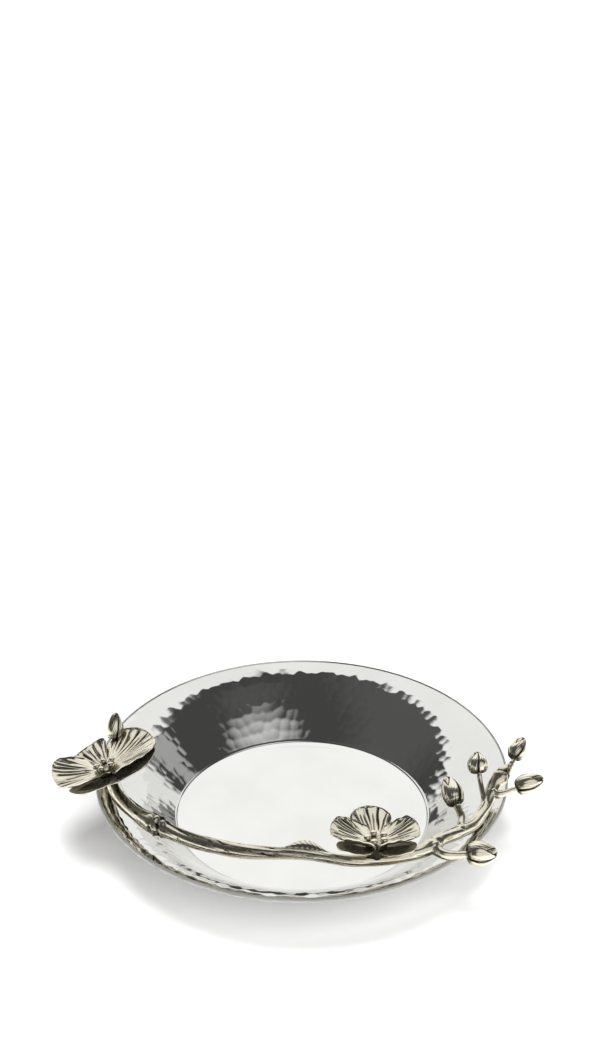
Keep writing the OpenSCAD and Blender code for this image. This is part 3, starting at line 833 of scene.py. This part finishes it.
def blade_parts(flower, name, seed):
    """A petal or sepal: rings of points round its section, carried from the claw to the tip.
    Across, v goes from -1 to 1 and back as a cosine, so the edges are round. The height is a bowl
    about the flower's axis, a curl and a tilt across the blade, a raised margin and ruffles near
    it, less grooves that fan out from the axis, each with its own seeded start, end and depth."""
    azimuth, length_share, width_share, sector, tilt, curl_share, bowl = FLOWERS[flower][2][name]
    part, kind = name.split("_")
    sides, vein_gap, vein_share, rim, keel_share, ruffle_share = BLADE_KINDS[kind]
    petal, back = kind == "petal", part == "back"
    longest = mm(flower + "_petal")
    length, half_w = longest * length_share, longest * width_share
    rng = np.random.default_rng(seed)
    start = NECK_RADIUS + SEAT_GAP
    u = np.sin(np.linspace(0.0, np.pi / 2, BLADE_RINGS))[:, None]
    q = round_angles(sides)
    v, side = -np.cos(q), np.sin(q)
    upper = side > 0
    middle = np.sin(np.pi * u)
    claw = BROAD_CLAW if petal and not back else NARROW_CLAW
    outline = np.where(
        u < WIDEST, claw + (1 - claw) * np.sin(np.pi / 2 * np.minimum(u / WIDEST, 1)),
        np.sqrt(np.clip(1 - ((u - WIDEST) / (1 - WIDEST)) ** 2, TIP ** 2, 1)))
    # a broad petal's front corner wraps round the neck, so the two front edges meet
    wrap = {"left": v, "right": -v}.get(part, 0 * v)
    x = start + (length - start) * u - (start - CORNER_RADIUS) * held(wrap) ** 1.5 * (1 - u) ** 3
    limit = x * np.tan(np.radians(sector))
    half = ((half_w * outline) ** -6 + limit ** -6) ** (-1 / 6)
    phases = rng.uniform(0, TURN, 6)
    y = v * half * (1 + 0.02 * np.sin(9 * u + phases[0]) * middle)
    layer = LAYER_HEIGHT + (BACK_LAYER if back else SIDE_LAYER) if petal else 0
    cup = longest * bowl * (np.hypot(x, y) / longest) ** 1.5
    curl = half_w * (curl_share * v + tilt) * v * middle ** 0.45
    # grooves at even angles about the point where the veins meet, pushed about by waves
    fan = np.degrees(np.arctan2(y, x + VEINS_MEET)) / (VEIN_ANGLE * vein_gap)
    fan = fan + 0.30 * np.sin(0.9 * fan + phases[1]) + 0.12 * np.sin(2.3 * fan + 6 * u + phases[2])
    number = np.round(fan).astype(int)
    off = np.abs(fan - number)
    draws = rng.uniform(0, 1, (3, VEIN_DRAWS))
    begin, finish_at, deep = (row[number % VEIN_DRAWS] for row in draws)
    run = held((u - 0.05 - 0.25 * begin) / 0.15) * held((1.02 - 0.25 * finish_at - u) / 0.10)
    strength = run * (0.45 + 0.55 * deep)
    groove = bell(off, 0.17) * strength
    swell = 0.5 + 0.5 * np.cos(TURN * off)
    fine = 1 - np.abs(np.sin(1.5 * np.pi * fan + 3 * u + phases[3]))
    margin = np.minimum(1 - np.abs(v), (1 - u) * 1.6)
    inside = held(margin / 0.06)
    depth = mm("vein_height") * vein_share * held(u / 0.12) * inside
    relief = rim * bell(margin, 0.045) - depth * (
        0.9 * swell * (0.4 + 0.6 * strength) + 0.5 * groove + 0.20 * fine)
    keel = 0.30 * keel_share * bell(v, 0.13) * middle
    wave = sum(np.sin(k * np.pi * u + 1.5 * v + phases[k // 3 + 2]) for k in (3, 5, 8)) * 0.7
    ruffle = 0.24 * ruffle_share * np.abs(v) ** 3 * wave * middle
    roll = 0 if back else -0.35 * held((u - 0.88) / 0.12) ** 2
    thick = mm("petal_thickness") * (1 - 0.35 * v ** 2) * (0.75 - 0.2 * u)
    section = np.sign(side) * np.abs(side) ** 0.55
    z = STALK_HEIGHT + layer + cup + curl + ruffle + roll + (section - 1) * thick / 2
    z = z + np.where(upper, relief - keel * 0.4, -0.35 * relief - keel)
    turn = np.radians(azimuth)
    points = np.stack([x * np.cos(turn) - y * np.sin(turn), x * np.sin(turn) + y * np.cos(turn), z],
                      -1)
    points = to_flower(points, flower)
    if petal:
        # Petals: patina in the grooves; over the outer part, patina in the fine grooves and stripes
        # of painted dark reflection; darker near the claw
        reflection_stripes = held(np.sin(0.8 * fan + phases[4]) + np.sin(1.9 * fan + 4 * u + phases[5]))
        outer = held((u - 0.35) / 0.5)
        top = 1.1 * groove + (0.45 * fine ** 2 + 0.40 * reflection_stripes) * outer + 0.3 * np.exp(-u / 0.10)
    else:
        # Sepals: patina in the grooves, and painted shade over the inner part that lies under the
        # petals; the margin stays light
        top = 0.30 * groove + 0.60 * held((margin - 0.26) / 0.20)
    # Undersides: painted shade, with patina in the grooves
    patina_and_shade = np.where(upper, top, 0.55 + 0.4 * groove) * inside
    surface = skin(points, points[0].mean(0), points[-1].mean(0))
    return [(*surface, np.concatenate([patina_and_shade.ravel(), [0.3, 0]]))]


def lathe(profile, sides):
    """Surface of revolution about Z through [radius, height] pairs from axis to axis."""
    profile = np.array(profile, float)
    a = round_angles(sides)
    r, z = profile[1:-1, 0:1], profile[1:-1, 1:2]
    rings = np.stack([r * np.cos(a), r * np.sin(a), z + 0 * a], -1)
    return skin(rings, [0, 0, profile[0, 1]], [0, 0, profile[-1, 1]])


def rounded(profile):
    """The profile with its corners softened by a smooth curve through points near them."""
    profile = np.array(profile, float)
    dense = [profile[0]]
    for before, here, after in zip(profile[:-2], profile[1:-1], profile[2:]):
        dense += [here + (before - here) * 0.25, here + (after - here) * 0.25]
    dense.append(profile[-1])
    return smooth(dense, 6)


def cap_heights():
    """Heights of the cap's seat and of its top over the branch's middle line."""
    petal_t = mm("petal_thickness")
    low = STALK_HEIGHT + LAYER_HEIGHT + petal_t * CAP_SEAT
    return low, low + petal_t * CAP_RISE


def neck_parts(flower):
    """The flower's neck: a lathed stalk that flares to the branch, and a low cap over the claws,
    with five soft lobes from a cosine of the angle."""
    low, top = cap_heights()
    cap_r = NECK_RADIUS * CAP_RADIUS
    points, quads, fans = lathe(rounded([
        (0, 0.6), (NECK_RADIUS * 1.02, 0.9), (NECK_RADIUS * 0.78, 2.4),
        (NECK_RADIUS * 1.05, STALK_HEIGHT - 1.4), (NECK_RADIUS * 1.7, STALK_HEIGHT - 0.3),
        (NECK_RADIUS * 1.5, low), (cap_r, low + 0.35), (cap_r, top - 0.15),
        (cap_r * 0.75, top), (0, top - 0.2)]), 72)
    a = np.arctan2(points[:, 1], points[:, 0])
    lobes = 1 + 0.05 * np.cos(5 * a) * held((points[:, 2] - low) / 0.8)
    points[:, :2] *= lobes[:, None]
    # The stalk under the petals is painted dark as shade, and the cap half dark as painted shade at
    # the flower's centre
    patina_and_shade = np.where(points[:, 2] < low, 0.85, 0.5)
    return [(to_flower(points, flower), quads, fans, patina_and_shade)]


def bead_parts(flower):
    """Beads in a ring on the cap: flattened spheres with a flat seat, a little uneven."""
    bead_r = mm("bead_diameter") / 2
    seat = BEAD_SEAT * bead_r
    ring_r = NECK_RADIUS * BEAD_RING
    middle_z = cap_heights()[1] + SEAT_GAP + seat * BEAD_FLATNESS
    latitudes = np.linspace(BEAD_LATITUDE, np.pi / 2, 24)[:-1]
    profile = [(0, -seat), *((bead_r * np.cos(q), bead_r * np.sin(q)) for q in latitudes),
               (0, bead_r)]
    parts = []
    for k in range(sizes().beads):
        rng = np.random.default_rng(BEAD_SEED + k)
        points, quads, fans = lathe(profile, 40)
        lumpy = 1 + 0.03 * np.sin(points @ rng.uniform(-2.4, 2.4, 3) + rng.uniform(0, TURN))
        size = rng.uniform(0.94, 1.0)
        points = points * lumpy[:, None] * size * [BEAD_SPREAD, BEAD_SPREAD, BEAD_FLATNESS]
        turn = TURN * (k + 0.5) / sizes().beads
        centre = np.array([ring_r * np.cos(turn), ring_r * np.sin(turn), middle_z])
        patina_and_shade = 0.8 * np.exp(-(points[:, 2] + seat * BEAD_FLATNESS) / 0.25)
        parts.append((to_flower(points + centre, flower), quads, fans, patina_and_shade))
    return parts


def leaf_parts():
    """The leaf: the same ringed section as a petal, carried along the inner side of the branch. It
    reaches out as half a sine wave, and its veins are a sine wave that leans as it goes out."""
    line = smooth(branch_rows(), BRANCH_STEPS)
    t = np.linspace(0, 1, LEAF_RINGS)
    at = BRANCH_STEPS * (LEAF_FROM + LEAF_ROWS * t)
    p = np.stack([np.interp(at, np.arange(len(line)), line[:, k]) for k in range(4)], 1)
    inward = -unit(np.stack([p[:, 0], p[:, 1], 0 * t], 1))
    rise = np.radians(LEAF_ANGLE)
    out = inward * np.cos(rise) + np.array([0, 0, np.sin(rise)])
    over = -inward * np.sin(rise) + np.array([0, 0, np.cos(rise)])
    reach = (LEAF_REACH * np.maximum(0.12, np.sin(np.pi * t)))[:, None]
    q = round_angles(LEAF_SIDES)
    v, side = (1 - np.cos(q)) / 2, np.sin(q)
    upper = side > 0
    vein = 1 - np.abs(np.sin(9 * t[:, None] * np.pi + 3.5 * v))
    arch = (reach * 0.12 - 0.10 * vein * upper) * np.sin(np.pi * v)
    thick = LEAF_THICKNESS / 2 * np.sign(side) * np.abs(side) ** 0.5 * (1 - 0.4 * v)
    away = p[:, 3:4] + LEAF_GAP + reach * v
    rings = (p[:, None, :3] + out[:, None] * away[..., None]
             + over[:, None] * (arch + thick)[..., None])
    # Patina in the veins; the underside a little darker as painted shade; darker where the leaf
    # meets the branch
    patina_and_shade = np.where(upper, 0.9 * vein ** 2, 0.2) + 0.4 * np.exp(-v / 0.08)
    surface = skin(rings, rings[0].mean(0), rings[-1].mean(0))
    return [(*surface, np.concatenate([patina_and_shade.ravel(), [0.3, 0.3]]))]


# ---- operators

# First seeds of the twigs, the buds and the blades
TWIG_SEED = 20
BUD_SEED = 40
BLADE_SEED = 61


class COASTER_OT_dish(bpy.types.Operator):
    """Builds the hammered dish"""
    bl_idname = "coaster.dish"
    bl_label = "Hammered Dish"

    def execute(self, context):
        add_piece("hammered_dish", dish_parts(), hammered_steel(), "dish")
        return {"FINISHED"}


class COASTER_OT_branch(bpy.types.Operator):
    """Builds the branch, its twigs and its leaf, and finishes the screws that hold it"""
    bl_idname = "coaster.branch"
    bl_label = "Orchid Branch"

    def execute(self, context):
        metal = nickel_plate("plated_bark", tint=1.03, haze=0.14, peel=0.00007)
        add_piece("orchid_branch", branch_parts(), metal, "branch")
        for seed, name in enumerate(TWIGS, TWIG_SEED):
            add_piece(name + "_stem", twig_parts(name, seed), metal,
                      name + "_twig")
        metal = nickel_plate("plated_leaf", tint=0.98, haze=0.06, peel=0.00005)
        add_piece("branch_leaf", leaf_parts(), metal, "leaf")
        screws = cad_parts["branch_screws"]
        screws.data.materials.clear()
        screws.data.materials.append(screw_steel())
        return {"FINISHED"}


class COASTER_OT_buds(bpy.types.Operator):
    """Builds the closed buds"""
    bl_idname = "coaster.buds"
    bl_label = "Buds"

    def execute(self, context):
        # The buds get a lighter copy of the plate, as painted light
        metal = nickel_plate("plated_bud", tint=1.20, haze=0.14, peel=0.00006)
        for seed, name in enumerate(TWIGS, BUD_SEED):
            add_piece(name + "_flower_bud", bud_parts(name, seed), metal,
                      name + "_bud")
        return {"FINISHED"}


class COASTER_OT_flowers(bpy.types.Operator):
    """Builds the two open flowers: petals, sepals, necks and beads"""
    bl_idname = "coaster.flowers"
    bl_label = "Flowers"

    def execute(self, context):
        metal = nickel_plate("plated_petal", tint=1.02, haze=0.10, peel=0.00003)
        # The sepals get a rougher satin copy of the plate, made lighter as painted light
        painted_light_satin = nickel_plate("plated_sepal", tint=1.15, haze=0.34, peel=0.00003)
        # The small flower's beads get a much lighter copy of the plate as a painted highlight
        painted_highlight_plate = nickel_plate("plated_bead", tint=1.25, haze=0.22, peel=0.00003)
        seed = BLADE_SEED
        for flower, (_, _, blades) in FLOWERS.items():
            for name in blades:
                add_piece(flower + "_" + name.replace("_", "_veined_"),
                          blade_parts(flower, name, seed),
                          painted_light_satin if name.endswith("sepal") else metal,
                          flower + "_" + name)
                seed += 1
            add_piece(flower + "_flower_neck", neck_parts(flower), metal,
                      flower + "_neck")
            add_piece(flower + "_flower_beads", bead_parts(flower),
                      painted_highlight_plate if flower == "small" else metal, flower + "_beads")
        return {"FINISHED"}


# Camera: place in metres, tilt up from straight down and roll in degrees, lens in millimetres
CAMERA_AT = (0.0, -0.69547, 0.49543)
CAMERA_TILT = 69.11
CAMERA_ROLL = -0.26
CAMERA_LENS = 71.95
CAMERA_SHIFT = (0.0004, -0.2355)
CAMERA_CLIP = (0.01, 50)
TABLE_REACH = 6.0
TABLE_ROUGHNESS = 0.9
TABLE_SHEEN = 0.1

# Bright caps of the studio sky, the brightest of which counts: way, edge as a cosine, softness of
# the edge, strength
SKY_CAPS = [
    ((-0.04, 0.80, 0.60), 0.75, 0.015, 1.00),
    ((0.05, 0.80, 0.60), 0.86, 0.12, 1.12),
    ((0.56, 0.77, 0.31), 0.980, 0.008, 0.90),
    ((0.70, 0.46, 0.55), 0.989, 0.004, 0.42),
    ((0.50, -0.80, 0.42), 0.76, 0.09, 0.80),
    ((0.0, 0.0, -1.0), -0.16, 0.09, 0.95),
    ((-0.55, 0.15, 0.80), 0.80, 0.16, 0.10),
    ((0.30, -0.10, 0.95), 0.95, 0.05, 0.10),
    ((0.0, 0.0, 1.0), -2.0, 0.1, 0.065),
]
# Soft suns that light the table: name, way, spread in degrees, strength
SUNS = [
    ("key_from_above", (-0.06, 0.16, 1.0), 36, 2.6),
    ("fill_from_front", (0.30, -0.75, 0.55), 76, 3.8),
]


class COASTER_OT_stage(bpy.types.Operator):
    """Sets the pale table, the soft studio light and the camera"""
    bl_idname = "coaster.stage"
    bl_label = "Stage"

    def execute(self, context):
        scene = context.scene
        mesh = bpy.data.meshes.new("table_top")
        corners = [(TABLE_REACH * x, TABLE_REACH * y, 0)
                   for x, y in ((-1, -1), (1, -1), (1, 1), (-1, 1))]
        mesh.from_pydata(corners, [], [(0, 1, 2, 3)])
        floor = bpy.data.objects.new("table_top", mesh)
        scene.collection.objects.link(floor)
        material, m = new_material("pale_table")
        colour = finish().table
        m.link(m.mix(m.noise(6, 2), colour, dulled(colour, TABLE_DULL)), "Base Color")
        m.shader.inputs["Roughness"].default_value = TABLE_ROUGHNESS
        m.shader.inputs["Specular IOR Level"].default_value = TABLE_SHEEN
        mesh.materials.append(material)

        scene.view_settings.view_transform = "Standard"
        world = bpy.data.worlds.new("studio")
        scene.world = world
        world.use_nodes = True
        world.cycles_visibility.diffuse = False
        sky = Nodes(world.node_tree)
        toward = sky.add("ShaderNodeTexCoord").outputs["Generated"]
        brightest = None
        for way, edge, soft, level in SKY_CAPS:
            dot = sky.add("ShaderNodeVectorMath", {0: toward}, operation="DOT_PRODUCT")
            dot.inputs[1].default_value = way / np.linalg.norm(way)
            cap = sky.map(dot.outputs["Value"], edge - soft, edge + soft, 0, level)
            brightest = cap if brightest is None else sky.most(brightest, cap)
        background = sky.tree.nodes["Background"]
        background.inputs["Color"].default_value = (1, 1, 1, 1)
        sky.tree.links.new(brightest, background.inputs["Strength"])

        for name, way, spread, power in SUNS:
            light = bpy.data.lights.new(name, "SUN")
            light.energy = power
            light.angle = np.radians(spread)
            lamp = bpy.data.objects.new(name, light)
            scene.collection.objects.link(lamp)
            lamp.location = way
            lamp.rotation_euler = Vector(way).to_track_quat("Z", "Y").to_euler()
            lamp.visible_glossy = False

        camera = bpy.data.cameras.new("camera")
        camera.lens = CAMERA_LENS
        camera.shift_x, camera.shift_y = CAMERA_SHIFT
        camera.clip_start, camera.clip_end = CAMERA_CLIP
        view = bpy.data.objects.new("camera", camera)
        scene.collection.objects.link(view)
        view.location = CAMERA_AT
        view.rotation_mode = "XYZ"
        tilt, roll = np.radians(CAMERA_TILT), np.radians(CAMERA_ROLL)
        turn = Matrix.Rotation(tilt, 3, "X") @ Matrix.Rotation(roll, 3, "Z")
        view.rotation_euler = turn.to_euler("XYZ")
        scene.camera = view
        return {"FINISHED"}


OPERATORS = (COASTER_OT_dish, COASTER_OT_branch, COASTER_OT_buds, COASTER_OT_flowers,
             COASTER_OT_stage)


class COASTER_PT_panel(bpy.types.Panel):
    """Lists the coaster's pieces, sizes and finishes"""
    bl_label = "Orchid Branch Coaster"
    bl_idname = "COASTER_PT_panel"
    bl_space_type = "VIEW_3D"
    bl_region_type = "UI"
    bl_category = "Coaster"

    def draw(self, context):
        layout = self.layout
        for operator in OPERATORS:
            layout.operator(operator.bl_idname)
        for group in (context.scene.coaster_sizes, context.scene.coaster_finish):
            box = layout.box()
            for name in group.bl_rna.properties.keys():
                if name not in ("rna_type", "name"):
                    box.prop(group, name)


CLASSES = (CoasterSizes, CoasterFinish, *OPERATORS, COASTER_PT_panel)


def register():
    for cls in CLASSES:
        bpy.utils.register_class(cls)
    bpy.types.Scene.coaster_sizes = PointerProperty(type=CoasterSizes)
    bpy.types.Scene.coaster_finish = PointerProperty(type=CoasterFinish)


def unregister():
    del bpy.types.Scene.coaster_sizes
    del bpy.types.Scene.coaster_finish
    for cls in reversed(CLASSES):
        bpy.utils.unregister_class(cls)


def main():
    register()
    bpy.ops.coaster.dish()
    bpy.ops.coaster.branch()
    bpy.ops.coaster.buds()
    bpy.ops.coaster.flowers()
    bpy.ops.coaster.stage()


if __name__ == "__main__":
    main()
